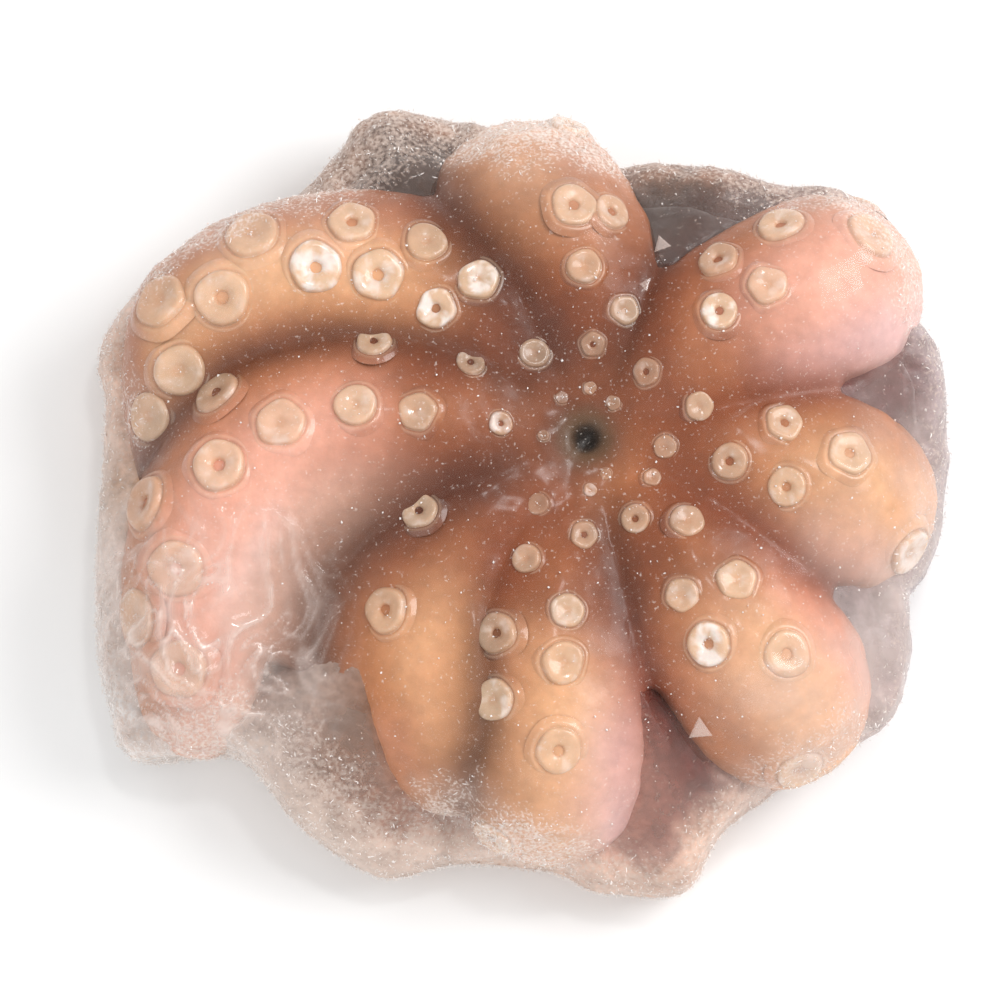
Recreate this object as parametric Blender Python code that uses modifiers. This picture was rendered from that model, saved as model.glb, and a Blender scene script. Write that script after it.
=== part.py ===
"""A whole octopus frozen mouth up into a flower-shaped block, rimmed with clear ice.

Eight arms spread from the mouth over the rim of the block and curl back under it. Each arm is a
tapering tube along a route that is worked out from a few plan points; its suckers sit on it in
two alternating rows. A rounded mantle fills the middle under the mouth. The ice is one ring that
fills the gaps between the arms at the rim. The block stands on z = 0, centred on x = y = 0.
"""
import math
import random
from collections import namedtuple

import bmesh
import bpy
import numpy as np
from mathutils import Matrix, Vector
from mathutils.bvhtree import BVHTree

MM = 0.001

# ---- driving dimensions (mm and degrees) -------------------------------------------------------
MOUTH = (16.5, 10.0)
MOUTH_TOP = 53.0           # height of the skin beside the mouth
MOUTH_PIT = (3.4, 6.0)     # radius and depth of the mouth opening
ARM_RADIUS = ((0, 9), (25, 18), (50, 25), (80, 26.5), (110, 23.5), (140, 18), (180, 12), (230, 6))
CREST_RISE = 45.0          # distance from the mouth over which the arms climb to full height
CREST_DROP = (95.0, 165.0, 16.0)   # an arm that runs round the rim sinks this much between these
ROUTE_STEP = 4.0           # spacing of the points along a route
TUCK = 0.82                # an arm's end lies this share of its radius above the base
TAIL_LENGTH = 46.0         # how far an arm's end runs back under the block
MANTLE = ((-14.0, -6.0, 28.0), (74.0, 58.0, 28.0))  # centre and half-axes
CROWN = ((16.5, 10.0, 37.0), (42.0, 40.0, 16.5))    # the web round the mouth
SKIN_VOXEL = 3.2
SKIN_TRIANGLES = 2100
SWOLLEN_TRIANGLES = 9000   # of the shape that is cut out of the ice

SUCKER_FIRST = 10.0        # distance from the mouth to the first sucker
SUCKER_STEP = (7.0, 0.035)   # spacing at the mouth, and its growth with distance
SUCKER_RADIUS = (7.3, 42.0)  # largest radius, and the distance over which it is reached
SUCKER_FADE = (125.0, 210.0)  # the suckers shrink again towards the arm's tip
SUCKER_LOWEST = 20.0       # no sucker sits lower than this
# A sucker's half section: share of its radius out from its axis, and up from the skin.
SUCKER_SECTION = ((0.0, -0.60), (0.82, -0.60), (1.0, 0.30), (0.62, 0.34), (0.0, 0.02))
STUD_SECTION = ((0.0, -0.60), (1.0, -0.60), (1.12, 0.50), (0.0, 0.55))   # its room in the ice

# One arm: its plan points, girth, crest height, roll of the sucker rows at the mouth and at the
# rim (positive to the left, looking outward), half the angle between the rows, sucker spacing
# and the distance past which it has no suckers.
Arm = namedtuple("Arm", "plan girth crest roll spread spacing last")
ARMS = {
    "top": Arm([(16.5, 19), (16, 39), (12, 55), (6, 67)], 1.10, 64, (-14, -38), 12, 1.0, 98),
    "upper_right": Arm([(27, 19), (47, 35), (61, 43), (72, 49)], 1.03, 66, (24, 26), 15, 1.0, 108),
    "right": Arm([(28, 11), (50, 6), (66, 3), (76, 0)], 1.0, 62, (14, -4), 17, 1.02, 135),
    "lower_right": Arm([(27, 0), (43, -22), (53, -37), (60, -46)], 1.02, 63, (0, -4), 16, 1.08, 114),
    "bottom": Arm([(14, -2), (10, -23), (7, -45), (7, -65)], 1.0, 62, (-6, -18), 20, 1.0, 120),
    "lower_left": Arm([(6, 1), (-12, -13), (-20, -27), (-22, -41), (-20, -55)], 0.86, 59,
                      (-44, -50), 10, 1.2, 66),
    "left": Arm([(5, 12), (-14, 15), (-35, 15), (-56, 10), (-74, -2), (-84, -22), (-86, -42)],
                1.05, 65, (-16, -34), 20, 1.02, 150),
    "upper_left": Arm([(7, 21), (-9, 42), (-28, 53), (-49, 56), (-71, 53), (-87, 44),
                       (-92, 28), (-91, 12)], 0.95, 62, (10, -14), 17, 1.05, 160),
}

# The block's outline at its widest, anticlockwise from the right.
OUTLINE = (
    (117, 13), (114, 38), (108, 49), (109, 57), (103, 70), (96, 78), (91, 84), (84, 86), (67, 87),
    (48, 92), (27, 93), (18, 97), (2, 100.5), (-12, 104), (-33, 107.5), (-44, 104), (-52, 95),
    (-60, 85.5), (-80, 75), (-98, 65), (-110, 54), (-116.5, 40), (-115, 26), (-116.5, -9),
    (-116.5, -39), (-113, -56), (-109, -68), (-101, -71.5), (-80, -70), (-70, -78), (-63, -87),
    (-50, -97), (-37, -103), (-22, -100), (-6, -99.5), (10, -102.5), (21, -107), (43.5, -107.5),
    (52, -94), (64, -83), (88, -68), (99, -61), (105, -45), (105, -28), (110, -20), (114, -9),
)
# How high the ice stands, by direction from the middle of the block in degrees.
ICE_HEIGHTS = (
    (-180, 34), (-150, 30), (-130, 44), (-104, 28), (-88, 26), (-66, 38), (-45, 30), (-25, 46),
    (0, 30), (16, 46), (35, 32), (58, 46), (80, 32), (114, 46), (140, 34), (180, 34),
)
ICE_FOOT = 5.0             # the ice is undercut this much at its base
ICE_SHOULDER = 12.0        # the rounding of its upper edge
ICE_GAP = 2.0              # clearance between the ice and the flesh
ICE_INNER = 0.60           # the ring's inner edge, as a share of the outline
ICE_VOXEL = 2.0
ICE_TRIANGLES = 2400

COLLECTION = "frozen_octopus"


# ---- general helpers ---------------------------------------------------------------------------
def clear_scene():
    """Remove whatever the scene holds."""
    for item in list(bpy.data.objects):
        bpy.data.objects.remove(item)


def add_collection(name):
    """Return a new collection that is linked to the scene."""
    made = bpy.data.collections.new(name)
    bpy.context.scene.collection.children.link(made)
    return made


def material(name, colour, roughness):
    """Return a Principled material of one colour."""
    made = bpy.data.materials.new(name)
    made.use_nodes = True
    shader = made.node_tree.nodes["Principled BSDF"]
    shader.inputs["Base Color"].default_value = (*colour, 1.0)
    shader.inputs["Roughness"].default_value = roughness
    shader.inputs["Metallic"].default_value = 0.0
    return made


def add_object(name, mesh, group):
    """Put a mesh into a collection as an object."""
    made = bpy.data.objects.new(name, mesh)
    group.objects.link(made)
    return made


def from_bmesh(name, shape, group):
    """Turn a bmesh into an object."""
    mesh = bpy.data.meshes.new(name)
    shape.to_mesh(mesh)
    shape.free()
    return add_object(name, mesh, group)


def apply_modifiers(item):
    """Replace an object's mesh with its evaluated mesh."""
    bpy.context.view_layer.update()
    graph = bpy.context.evaluated_depsgraph_get()
    mesh = bpy.data.meshes.new_from_object(item.evaluated_get(graph))
    item.modifiers.clear()
    item.data = mesh


def smoothstep(value, low, high):
    """Ease from 0 at low to 1 at high."""
    share = np.clip((value - low) / (high - low), 0.0, 1.0)
    return share * share * (3.0 - 2.0 * share)


def smooth_curve(points, step):
    """Sample a curve through the points at an even spacing."""
    knots = np.asarray(points, dtype=float)
    ends = np.vstack([2 * knots[0] - knots[1], knots, 2 * knots[-1] - knots[-2]])
    fine = []
    for index in range(1, len(ends) - 2):
        before, start, end, after = ends[index - 1:index + 3]
        for share in np.linspace(0.0, 1.0, 24, endpoint=False):
            fine.append(0.5 * (2 * start + (end - before) * share
                               + (2 * before - 5 * start + 4 * end - after) * share ** 2
                               + (3 * start - before - 3 * end + after) * share ** 3))
    fine.append(knots[-1])
    return even_spacing(np.array(fine), step)


def even_spacing(points, step):
    """Resample a polyline at an even spacing."""
    lengths = np.concatenate([[0.0], np.cumsum(np.linalg.norm(np.diff(points, axis=0), axis=1))])
    count = max(2, int(round(lengths[-1] / step)) + 1)
    places = np.linspace(0.0, lengths[-1], count)
    return np.column_stack([np.interp(places, lengths, points[:, axis])
                            for axis in range(points.shape[1])])


# ---- arms --------------------------------------------------------------------------------------
def arm_radius(distance, girth):
    """Return the radius of an arm at a distance from the mouth."""
    where, radius = np.array(ARM_RADIUS, dtype=float).T
    return girth * np.interp(distance, where, radius)


def arm_crest(distance, crest):
    """Return the height of an arm's top at a distance from the mouth."""
    low, high, drop = CREST_DROP
    rise = smoothstep(distance, 5.0, CREST_RISE)
    return MOUTH_TOP + (crest - MOUTH_TOP) * rise - drop * smoothstep(distance, low, high)


def arm_route(arm):
    """Work out an arm's core: points, radii, outward directions and distances from the mouth."""
    plan = smooth_curve(arm.plan, ROUTE_STEP)
    start = np.linalg.norm(plan[0] - np.array(MOUTH))
    distance = start + np.concatenate(
        [[0.0], np.cumsum(np.linalg.norm(np.diff(plan, axis=0), axis=1))])
    radius = arm_radius(distance, arm.girth)
    height = arm_crest(distance, arm.crest) - radius
    points = [Vector((x, y, z)) for (x, y), z in zip(plan, height)]
    outward = [Vector((0, 0, 1)) for _ in points]
    heading = Vector((*(plan[-1] - plan[-2]), 0)).normalized()
    tail_height = TUCK * arm_radius(distance[-1] + 70.0, arm.girth)
    turn = 0.5 * (points[-1].z - tail_height)
    middle = points[-1] - Vector((0, 0, turn))
    stations = list(distance)
    for angle in np.linspace(0.0, math.pi, 8)[1:]:
        way = heading * math.sin(angle) + Vector((0, 0, math.cos(angle)))
        points.append(middle + way * turn)
        outward.append(way)
        stations.append(stations[-1] + turn * math.pi / 7)
    for _ in range(int(TAIL_LENGTH / ROUTE_STEP)):
        points.append(points[-1] - heading * ROUTE_STEP)
        outward.append(Vector((0, 0, -1)))
        stations.append(stations[-1] + ROUTE_STEP)
    stations = np.array(stations)
    return points, arm_radius(stations, arm.girth), outward, stations


def make_tube(name, points, radii, group):
    """Make a tapering tube from a curve with filled caps."""
    curve = bpy.data.curves.new(name, "CURVE")
    curve.dimensions = "3D"
    curve.bevel_depth = MM
    curve.bevel_resolution = 4
    curve.use_fill_caps = True
    spline = curve.splines.new("POLY")
    spline.points.add(len(points) - 1)
    for knot, place, radius in zip(spline.points, points, radii):
        knot.co = (*(place * MM), 1.0)
        knot.radius = radius
    guide = bpy.data.objects.new(name, curve)
    group.objects.link(guide)
    bpy.context.view_layer.update()
    graph = bpy.context.evaluated_depsgraph_get()
    mesh = bpy.data.meshes.new_from_object(guide.evaluated_get(graph))
    bpy.data.objects.remove(guide)
    shape = bmesh.new()
    shape.from_mesh(mesh)
    bmesh.ops.remove_doubles(shape, verts=shape.verts, dist=0.00005)
    shape.to_mesh(mesh)
    shape.free()
    return add_object(name, mesh, group)


def make_ellipsoid(name, centre, half_axes, group):
    """Make a closed ellipsoid."""
    shape = bmesh.new()
    bmesh.ops.create_uvsphere(shape, u_segments=32, v_segments=16, radius=1.0)
    bmesh.ops.scale(shape, vec=Vector(half_axes) * MM, verts=shape.verts)
    bmesh.ops.translate(shape, vec=Vector(centre) * MM, verts=shape.verts)
    return from_bmesh(name, shape, group)


def join(pieces, name, group):
    """Join objects into one."""
    shape = bmesh.new()
    for piece in pieces:
        shape.from_mesh(piece.data)
        bpy.data.objects.remove(piece)
    return from_bmesh(name, shape, group)


def fuse(item, voxel, triangles):
    """Melt overlapping shapes into one smooth skin with a given number of triangles."""
    remesh = item.modifiers.new("melt", "REMESH")
    remesh.mode = "VOXEL"
    remesh.voxel_size = voxel * MM
    smooth = item.modifiers.new("soften", "SMOOTH")
    smooth.factor = 0.5
    smooth.iterations = 4
    apply_modifiers(item)
    thin(item, triangles)


def thin(item, triangles):
    """Bring a mesh down to a number of triangles."""
    faces = sum(len(polygon.vertices) - 2 for polygon in item.data.polygons)
    decimate = item.modifiers.new("thin", "DECIMATE")
    decimate.ratio = triangles / faces
    apply_modifiers(item)


def boolean(item, cutter, operation, solver="EXACT"):
    """Join or cut one solid with another, which is then removed."""
    modifier = item.modifiers.new(operation.lower(), "BOOLEAN")
    modifier.operation = operation
    modifier.solver = solver
    modifier.object = cutter
    apply_modifiers(item)
    bpy.data.objects.remove(cutter)


def make_block(name, low, high, group):
    """Make a box between two corners."""
    shape = bmesh.new()
    bmesh.ops.create_cube(shape, size=1.0)
    low = Vector(low)
    high = Vector(high)
    bmesh.ops.scale(shape, vec=(high - low) * MM, verts=shape.verts)
    bmesh.ops.translate(shape, vec=(high + low) * 0.5 * MM, verts=shape.verts)
    return from_bmesh(name, shape, group)


def make_skin(name, swell, group):
    """Make the arms, web and mantle as one smooth solid, swollen by a given amount."""
    pieces = []
    for label, arm in ARMS.items():
        points, radii, _, _ = arm_route(arm)
        points[-1] += (points[-1] - points[-2]).normalized() * swell
        pieces.append(make_tube(f"{name}_{label}", points, radii + swell, group))
    for label, (centre, half_axes) in (("mantle", MANTLE), ("crown", CROWN)):
        grown = [axis + swell for axis in half_axes]
        pieces.append(make_ellipsoid(f"{name}_{label}", centre, grown, group))
    return join(pieces, name, group)


def cut_flat(item, group):
    """Cut the solid flat where it stands."""
    below = make_block("below", (-200, -200, -80), (200, 200, 0), group)
    boolean(item, below, "DIFFERENCE", "MANIFOLD")


# ---- suckers -----------------------------------------------------------------------------------
def sucker_stations(arm, start):
    """List the distances from the mouth at which an arm has suckers."""
    first, growth = SUCKER_STEP
    distance = SUCKER_FIRST + start
    found = []
    while distance < arm.last:
        found.append(distance)
        distance += arm.spacing * (first + growth * distance)
    return found


def sucker_radius(distance):
    """Return a sucker's radius at a distance from the mouth."""
    largest, reach = SUCKER_RADIUS
    fade = smoothstep(distance, *SUCKER_FADE)
    return largest * (1.0 - math.exp(-distance / reach)) * (1.0 - 0.6 * fade)


def core_frame(route, distance):
    """Return the core's place, radius, tangent and outward direction at a distance."""
    points, radii, outward, stations = route
    index = int(np.clip(np.searchsorted(stations, distance), 1, len(points) - 1))
    share = (distance - stations[index - 1]) / (stations[index] - stations[index - 1])
    place = points[index - 1].lerp(points[index], share)
    tangent = (points[index] - points[index - 1]).normalized()
    out = outward[index - 1].lerp(outward[index], share)
    out = (out - tangent * out.dot(tangent)).normalized()
    radius = radii[index - 1] + share * (radii[index] - radii[index - 1])
    return place, radius, tangent, out


def place_suckers(skin):
    """Work out every sucker: where it sits on the skin, which way it faces and its radius."""
    surface = BVHTree.FromPolygons([v.co.copy() for v in skin.data.vertices],
                                   [tuple(p.vertices) for p in skin.data.polygons])
    chance = random.Random(8)
    found = []
    for number, arm in enumerate(ARMS.values()):
        route = arm_route(arm)
        side = 1 if number % 2 else -1
        for distance in sucker_stations(arm, 1.5 * (number % 3)):
            side = -side
            place, radius, tangent, out = core_frame(route, distance)
            share = smoothstep(distance, 15.0, 90.0)
            roll = arm.roll[0] + (arm.roll[1] - arm.roll[0]) * share + side * arm.spread
            roll += chance.uniform(-2.0, 2.0)
            size = sucker_radius(distance) * chance.uniform(0.88, 1.08)
            way = Matrix.Rotation(math.radians(-roll), 3, tangent) @ out
            start = (place + way * radius * 1.9) * MM
            hit, normal, _, gap = surface.ray_cast(start, -way)
            if hit is None or gap < 0.55 * radius * MM or hit.z < SUCKER_LOWEST * MM:
                continue
            if normal.dot(way) < 0.35:
                continue
            facing = (normal + 0.6 * way).normalized()
            if all((hit - other).length > 0.95 * (size + width) * MM for other, _, width in found):
                found.append((hit, facing, size))
    return found


def make_sucker(place, facing, size, section, group):
    """Make one turned sucker."""
    sides = 8 if size > 3.0 else 6
    shape = bmesh.new()
    profile = [shape.verts.new((out, 0.0, up)) for out, up in section]
    edges = [shape.edges.new(pair) for pair in zip(profile, profile[1:])]
    bmesh.ops.spin(shape, geom=profile + edges, cent=(0, 0, 0), axis=(0, 0, 1),
                   angle=2 * math.pi, steps=sides)
    bmesh.ops.remove_doubles(shape, verts=shape.verts, dist=0.0001)
    turn = Vector((0, 0, 1)).rotation_difference(facing).to_matrix().to_4x4()
    bmesh.ops.transform(shape, matrix=Matrix.Translation(place) @ turn
                        @ Matrix.Scale(size * MM, 4), verts=shape.verts)
    bmesh.ops.recalc_face_normals(shape, faces=shape.faces)
    return from_bmesh("sucker", shape, group)


def make_suckers(name, placed, section, swell, group):
    """Make all the suckers as one object."""
    pieces = [make_sucker(place, facing, size + swell, section, group)
              for place, facing, size in placed]
    return join(pieces, name, group)


def make_mouth(group):
    """Make the cutter of the mouth opening."""
    radius, depth = MOUTH_PIT
    shape = bmesh.new()
    bmesh.ops.create_cone(shape, cap_ends=True, segments=10, radius1=0.4 * radius * MM,
                          radius2=1.3 * radius * MM, depth=2 * depth * MM)
    place = Vector((*MOUTH, MOUTH_TOP)) * MM
    bmesh.ops.translate(shape, vec=place, verts=shape.verts)
    return from_bmesh("mouth_cutter", shape, group)


def make_octopus(group, cutters):
    """Make the whole octopus as one solid, and return it with its suckers' places."""
    octopus = make_skin("octopus", 0.0, group)
    fuse(octopus, SKIN_VOXEL, SKIN_TRIANGLES)
    cut_flat(octopus, cutters)
    boolean(octopus, make_mouth(cutters), "DIFFERENCE")
    placed = place_suckers(octopus)
    boolean(octopus, make_suckers("suckers", placed, SUCKER_SECTION, 0.0, cutters), "UNION")
    return octopus, placed


# ---- ice ---------------------------------------------------------------------------------------
def ice_height(place):
    """Return how high the ice stands in the direction of a point of the outline."""
    angle = math.degrees(math.atan2(place[1], place[0]))
    where, height = np.array(ICE_HEIGHTS, dtype=float).T
    return float(np.interp(angle, where, height))


def loft(name, rings, group):
    """Join closed rings of points, bottom to top, into one solid."""
    shape = bmesh.new()
    layers = [[shape.verts.new(Vector(point) * MM) for point in ring] for ring in rings]
    count = len(layers[0])
    for lower, upper in zip(layers, layers[1:]):
        for index in range(count):
            after = (index + 1) % count
            shape.faces.new((lower[index], lower[after], upper[after], upper[index]))
    shape.faces.new(reversed(layers[0]))
    shape.faces.new(layers[-1])
    bmesh.ops.triangulate(shape, faces=shape.faces)
    bmesh.ops.recalc_face_normals(shape, faces=shape.faces)
    return from_bmesh(name, shape, group)


def ring_at(plan, inset, height_of):
    """Draw the outline in by a distance and lift each point to its height."""
    ring = []
    for x, y in plan:
        share = 1.0 - inset / math.hypot(x, y)
        ring.append((x * share, y * share, height_of((x, y))))
    return ring


def make_ice(placed, group, cutters):
    """Make the ring of ice, cut to fit round the octopus."""
    closed = np.vstack([OUTLINE, OUTLINE[:1]])
    plan = smooth_curve(closed, 8.5)[:-1]
    rings = [
        ring_at(plan, 1.6 * ICE_FOOT, lambda p: -6.0),
        ring_at(plan, ICE_FOOT, lambda p: 0.0),
        ring_at(plan, 0.35 * ICE_FOOT, lambda p: 4.0),
        ring_at(plan, 0.0, lambda p: 11.0),
        ring_at(plan, 0.0, lambda p: ice_height(p) - ICE_SHOULDER),
        ring_at(plan, 0.3 * ICE_SHOULDER, lambda p: ice_height(p) - 0.3 * ICE_SHOULDER),
        ring_at(plan, ICE_SHOULDER, lambda p: ice_height(p)),
        [(x * 0.4, y * 0.4, ice_height((x, y))) for x, y in plan],
    ]
    ice = loft("ice", rings, group)
    inner = [[(x * ICE_INNER, y * ICE_INNER, z) for x, y in plan] for z in (-20.0, 90.0)]
    boolean(ice, loft("inner", inner, cutters), "DIFFERENCE")
    swollen = make_skin("swollen", ICE_GAP, cutters)
    studs = make_suckers("studs", placed, STUD_SECTION, ICE_GAP, cutters)
    swollen = join([swollen, studs], "swollen", cutters)
    fuse(swollen, SKIN_VOXEL, SWOLLEN_TRIANGLES)
    boolean(ice, swollen, "DIFFERENCE", "MANIFOLD")
    fuse(ice, ICE_VOXEL, ICE_TRIANGLES)
    cut_flat(ice, cutters)
    keep_largest(ice)
    return ice


def keep_largest(item):
    """Drop every loose body of a mesh but the largest."""
    shape = bmesh.new()
    shape.from_mesh(item.data)
    left = set(shape.verts)
    bodies = []
    while left:
        seed = left.pop()
        body = {seed}
        queue = [seed]
        while queue:
            for edge in queue.pop().link_edges:
                for vert in edge.verts:
                    if vert in left:
                        left.remove(vert)
                        body.add(vert)
                        queue.append(vert)
        bodies.append(body)
    bodies.sort(key=len)
    for body in bodies[:-1]:
        bmesh.ops.delete(shape, geom=list(body), context="VERTS")
    shape.to_mesh(item.data)
    shape.free()


def centre(items):
    """Move the solids together so that their common box is centred over the origin."""
    corners = np.array([vert.co for item in items for vert in item.data.vertices])
    middle = 0.5 * (corners.min(axis=0) + corners.max(axis=0))
    for item in items:
        item.data.transform(Matrix.Translation((-middle[0], -middle[1], 0.0)))


def main():
    """Build the block."""
    clear_scene()
    parts = add_collection(COLLECTION)
    cutters = add_collection("cutters")
    octopus, placed = make_octopus(parts, cutters)
    octopus.data.materials.clear()
    octopus.data.materials.append(material("octopus_flesh", (0.55, 0.29, 0.17), 0.35))
    ice = make_ice(placed, parts, cutters)
    ice.data.materials.clear()
    ice.data.materials.append(material("clear_ice", (0.72, 0.70, 0.68), 0.2))
    centre((octopus, ice))
    for item in (octopus, ice):
        item.data.shade_flat()


main()
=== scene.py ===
"""Looks of a whole octopus frozen mouth up into a flower-shaped block, rimmed with ice and film.

The flesh is rebuilt finely from the same arms as the CAD model, coloured arm by arm, and given
real suckers. The ice is a cragged ring, the film a skin stretched over both, and the frost a
scatter of small crystals. Lengths are in millimetres until a mesh is made; the stage and the
materials are in metres.
"""
import itertools
import math
import random
from collections import namedtuple

import bmesh
import bpy
import numpy as np
from mathutils import Matrix, Vector
from mathutils.bvhtree import BVHTree


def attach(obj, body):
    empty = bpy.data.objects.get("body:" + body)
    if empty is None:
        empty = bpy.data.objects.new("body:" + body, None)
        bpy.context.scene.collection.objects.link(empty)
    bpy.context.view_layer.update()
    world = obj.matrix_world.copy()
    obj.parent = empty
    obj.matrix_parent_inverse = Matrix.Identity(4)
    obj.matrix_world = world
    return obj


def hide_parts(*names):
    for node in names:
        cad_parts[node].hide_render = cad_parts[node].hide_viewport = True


MM = 0.001

# ---- the octopus, as in the CAD model (mm and degrees) -----------------------------------------
MOUTH = (16.5, 10.0)
MOUTH_TOP = 53.0
ARM_RADIUS = ((0, 9), (25, 18), (50, 25), (80, 26.5), (110, 23.5), (140, 18), (180, 12), (230, 6))
CREST_RISE = 45.0
CREST_DROP = (95.0, 165.0, 16.0)
ROUTE_STEP = 4.0
TUCK = 0.82
TAIL_LENGTH = 46.0
MANTLE = ((-14.0, -6.0, 28.0), (74.0, 58.0, 28.0))
CROWN = ((16.5, 10.0, 37.0), (42.0, 40.0, 16.5))

SUCKER_FIRST = 10.0
SUCKER_STEP = (7.0, 0.035)        # spacing at the mouth, and its growth with distance
SUCKER_RADIUS = (7.3, 42.0)       # the largest, and the distance over which they grow
SUCKER_FADE = (125.0, 210.0)      # where they shrink again towards the tip
SUCKER_LOWEST = 20.0
SUCKER_GAP = 0.95                 # least distance between two, as a share of their radii

# An arm: its core in plan, how thick and how high it is, how far its suckers roll to the left near
# the mouth and far out, the angle from the middle to each row, how widely they are spaced, the
# distance of the last one, and the colours of its left side, top and right side.
Arm = namedtuple("Arm", "plan girth crest roll spread spacing last left top right")


def linear(red, green, blue):
    """Turn a colour of 0 to 255 per channel into linear light."""
    shares = np.array((red, green, blue)) / 255.0
    return np.where(shares <= 0.04045, shares / 12.92, ((shares + 0.055) / 1.055) ** 2.4)


# ---- named colours -----------------------------------------------------------------------------
TAN = linear(228, 176, 134)
AMBER = linear(194, 128, 84)
ORANGE = linear(172, 106, 66)
RUST = linear(138, 74, 40)
SALMON = linear(230, 168, 146)
ROSE = linear(234, 200, 190)
MAUVE = linear(218, 176, 174)
BROWN = linear(82, 38, 15)
UMBER = linear(60, 34, 22)
MAROON = linear(122, 58, 48)
SMOKE = linear(76, 44, 30)
INK = linear(30, 26, 24)
MOSS = linear(84, 66, 44)
CREAM = linear(220, 186, 154)
FROST = linear(240, 228, 220)
VEIL = linear(220, 184, 164)
SOOT = linear(66, 38, 22)
HAZEL = linear(146, 104, 80)
WINE = linear(104, 40, 32)
RIMED = linear(222, 200, 186)
SLATE = linear(168, 150, 152)
PEARL = linear(220, 200, 188)
GLASS = linear(248, 248, 248)

ARMS = {
    "top": Arm([(16.5, 19), (16, 39), (12, 55), (6, 67)], 1.10, 64, (-14, -38), 12, 1.0, 98,
               ORANGE, TAN, AMBER),
    "upper_right": Arm([(27, 19), (47, 35), (61, 43), (72, 49)], 1.03, 66, (24, 26), 15, 1.0, 108,
                       ORANGE, SALMON, MAUVE),
    "right": Arm([(28, 11), (50, 6), (66, 3), (76, 0)], 1.0, 62, (14, -4), 17, 1.02, 135,
                 AMBER, TAN, ROSE),
    "lower_right": Arm([(27, 0), (43, -22), (53, -37), (60, -46)], 1.02, 63, (0, -4), 16, 1.08,
                       114, SALMON, TAN, AMBER),
    "bottom": Arm([(14, -2), (10, -23), (7, -45), (7, -65)], 1.0, 62, (-6, -18), 20, 1.0, 120,
                  MAUVE, TAN, TAN),
    "lower_left": Arm([(6, 1), (-12, -13), (-20, -27), (-22, -41), (-20, -55)], 0.86, 59,
                      (-44, -50), 10, 1.2, 66, TAN, TAN, AMBER),
    "left": Arm([(5, 12), (-14, 15), (-35, 15), (-56, 10), (-74, -2), (-84, -22), (-86, -42)],
                1.05, 65, (-16, -34), 20, 1.02, 150, ROSE, SALMON, AMBER),
    "upper_left": Arm([(7, 21), (-9, 42), (-28, 53), (-49, 56), (-71, 53), (-87, 44),
                       (-92, 28), (-91, 12)], 0.95, 62, (10, -14), 17, 1.05, 160,
                      AMBER, TAN, ORANGE),
}
# The valley between two neighbouring arms: its colour near the mouth and far out, and its width.
VALLEYS = {
    ("top", "upper_right"): (BROWN, UMBER, 1.6),
    ("upper_right", "right"): (RUST, MAROON, 1.2),
    ("right", "lower_right"): (RUST, MAROON, 1.8),
    ("lower_right", "bottom"): (BROWN, MAROON, 2.0),
    ("bottom", "lower_left"): (RUST, SMOKE, 1.3),
    ("lower_left", "left"): (BROWN, SMOKE, 3.0),
    ("left", "upper_left"): (BROWN, BROWN, 1.5),
    ("upper_left", "top"): (BROWN, BROWN, 2.4),
}

# ---- the ice, as in the CAD model --------------------------------------------------------------
OUTLINE = (
    (117, 13), (114, 38), (108, 49), (109, 57), (103, 70), (96, 78), (91, 84), (84, 86), (67, 87),
    (48, 92), (27, 93), (18, 97), (2, 100.5), (-12, 104), (-33, 107.5), (-44, 104), (-52, 95),
    (-60, 85.5), (-80, 75), (-98, 65), (-110, 54), (-116.5, 40), (-115, 26), (-116.5, -9),
    (-116.5, -39), (-113, -56), (-109, -68), (-101, -71.5), (-80, -70), (-70, -78), (-63, -87),
    (-50, -97), (-37, -103), (-22, -100), (-6, -99.5), (10, -102.5), (21, -107), (43.5, -107.5),
    (52, -94), (64, -83), (88, -68), (99, -61), (105, -45), (105, -28), (110, -20), (114, -9),
)
ICE_HEIGHTS = (
    (-180, 34), (-150, 30), (-130, 44), (-104, 28), (-88, 26), (-66, 38), (-45, 30), (-25, 46),
    (0, 30), (16, 46), (35, 32), (58, 46), (80, 32), (114, 46), (140, 34), (180, 34),
)
ICE_FOOT = 5.0
ICE_SHOULDER = 12.0
# The ice's look by direction: degrees, colour inside, colour at the edge.
ICE_TINTS = (
    (-180, TAN, PEARL), (-152, PEARL, GLASS), (-124, HAZEL, PEARL), (-85, SALMON, VEIL),
    (-60, MAROON, VEIL), (-23, SLATE, SLATE), (22, WINE, SLATE), (63, UMBER, HAZEL),
    (114, SOOT, HAZEL), (141, AMBER, VEIL), (167, AMBER, VEIL), (180, TAN, PEARL),
)
# Frost by direction: degrees, how thick it lies and how far in from the edge it reaches.
RIME = (
    (-180, 0.5, 14), (-150, 0.8, 16), (-120, 1.0, 30), (-85, 0.8, 18), (-60, 0.6, 14),
    (-23, 0.3, 12), (22, 0.45, 14), (42, 0.8, 22), (63, 0.6, 12), (90, 1.0, 27), (114, 0.9, 28),
    (141, 0.8, 14), (167, 0.7, 18), (180, 0.5, 14),
)

# ---- fineness, film and frost ------------------------------------------------------------------
SKY_HEIGHT = 120.0                # where rays that look down on the block start
SKIN_VOXEL = 1.25
BLEED_ROUNDS = 24
SUCKER_SIDES = 36
SUCKER_SWELL = 1.06
ICE_SPACING = 0.9
ICE_DROP = 2.5
WEB_PITCH = 1.5
WEB_ROUNDS = 500
WEB_SHARE = 0.72
FILM_PITCH = 0.8
FILM_LIFT = 0.5
FILM_LOWEST = 14.0
FILM_ROUNDS = 90
CRUMPLE = ((-90.0, -44.0), (36.0, 34.0))   # where the film is loose: centre and half-sizes
FOLD_HEIGHT = 3.0
CREASE_HEIGHT = 2.0
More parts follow.
